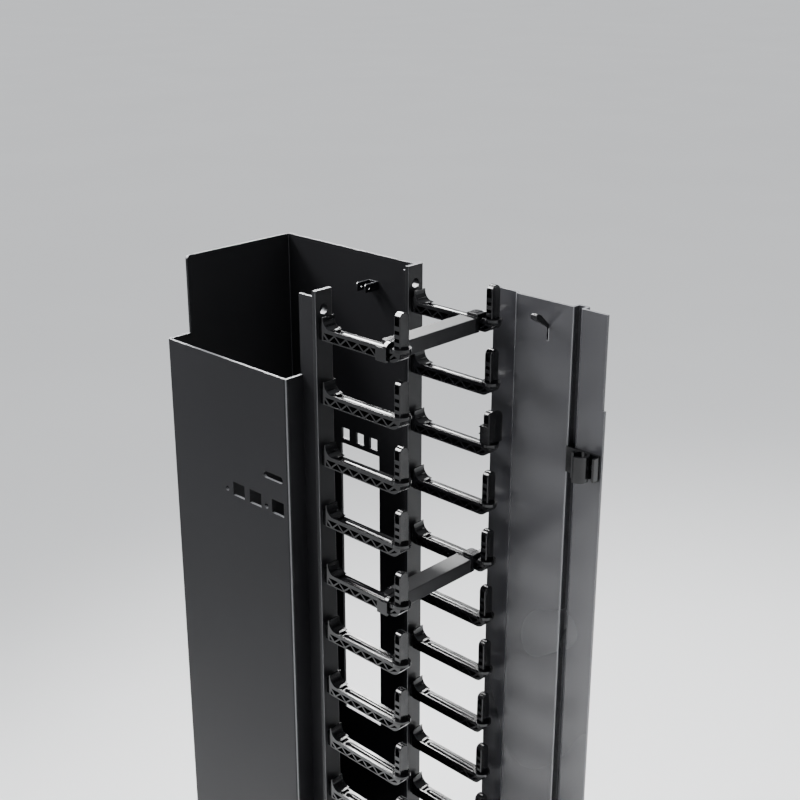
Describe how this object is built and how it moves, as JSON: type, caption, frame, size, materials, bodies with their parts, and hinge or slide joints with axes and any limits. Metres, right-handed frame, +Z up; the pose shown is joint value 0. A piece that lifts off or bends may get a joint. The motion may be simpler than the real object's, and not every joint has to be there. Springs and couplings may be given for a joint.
{
  "type": "vertical cable manager",
  "caption": "Upright cable manager: a folded duct with front and rear rails of cable fingers, clip-on cross bars, a rear side panel and a base tray.",
  "frame": {"origin": "on the floor, at the centre of the base tray's underside", "axes": "+X from the duct to the rear side panel, +Y to the back, +Z up"},
  "size_m": [0.3014, 0.125, 0.563],
  "materials": {
    "sheet_steel": "fine black powder coat",
    "panel_steel": "fine black powder coat, semi-gloss",
    "rail_steel": "black powder coat",
    "bar_plastic": "satin black extruded plastic",
    "clamp_plastic": "glossy black moulded plastic",
    "finger_plastic": "glossy black moulded plastic",
    "hook_plastic": "glossy black moulded plastic",
    "clip_plastic": "glossy black moulded plastic",
    "fork_steel": "black coated steel",
    "fastener_steel": "blackened steel"
  },
  "bodies": {
    "frame": {"back_tray_screws": "fastener_steel", "base_tray": "sheet_steel", "cable_clip": "clip_plastic", "clip_rivet": "fastener_steel", "duct_housing": "sheet_steel", "fork_bracket": "fork_steel", "fork_rivet": "fastener_steel", "front_finger_01": "finger_plastic", "front_finger_02": "finger_plastic", "front_finger_03": "finger_plastic", "front_finger_04": "finger_plastic", "front_finger_05": "finger_plastic", "front_finger_06": "finger_plastic", "front_finger_07": "finger_plastic", "front_finger_08": "finger_plastic", "front_finger_09": "finger_plastic", "front_finger_10": "finger_plastic", "front_finger_11": "finger_plastic", "front_finger_12": "finger_plastic", "front_rail": "rail_steel", "front_rail_screws": "fastener_steel", "front_tray_screws": "fastener_steel", "left_tray_screws": "fastener_steel", "panel_hook": "hook_plastic", "panel_tray_screws": "fastener_steel", "rear_finger_01": "finger_plastic", "rear_finger_02": "finger_plastic", "rear_finger_03": "finger_plastic", "rear_finger_04": "finger_plastic", "rear_finger_05": "finger_plastic", "rear_finger_06": "finger_plastic", "rear_finger_07": "finger_plastic", "rear_finger_08": "finger_plastic", "rear_finger_09": "finger_plastic", "rear_finger_10": "finger_plastic", "rear_finger_11": "finger_plastic", "rear_finger_12": "finger_plastic", "rear_panel": "panel_steel", "rear_rail": "rail_steel", "rear_rail_screws": "fastener_steel"},
    "upper_cross_bar": {"upper_bar": "bar_plastic", "upper_front_clamp": "clamp_plastic", "upper_rear_clamp": "clamp_plastic"},
    "lower_cross_bar": {"lower_bar": "bar_plastic", "lower_front_clamp": "clamp_plastic", "lower_rear_clamp": "clamp_plastic"},
    "retainer": {"tip_retainer": "clamp_plastic"}
  },
  "joints": [
    {"name": "upper_bar_lift", "type": "slide", "parent": "frame", "child": "upper_cross_bar", "axis": [0, 0, 1], "range_m": [0, 0.025]},
    {"name": "lower_bar_lift", "type": "slide", "parent": "frame", "child": "lower_cross_bar", "axis": [0, 0, 1], "range_m": [0, 0.025]},
    {"name": "retainer_slide", "type": "slide", "parent": "frame", "child": "retainer", "axis": [0, 0, 1], "range_m": [0, 0.01]}
  ]
}
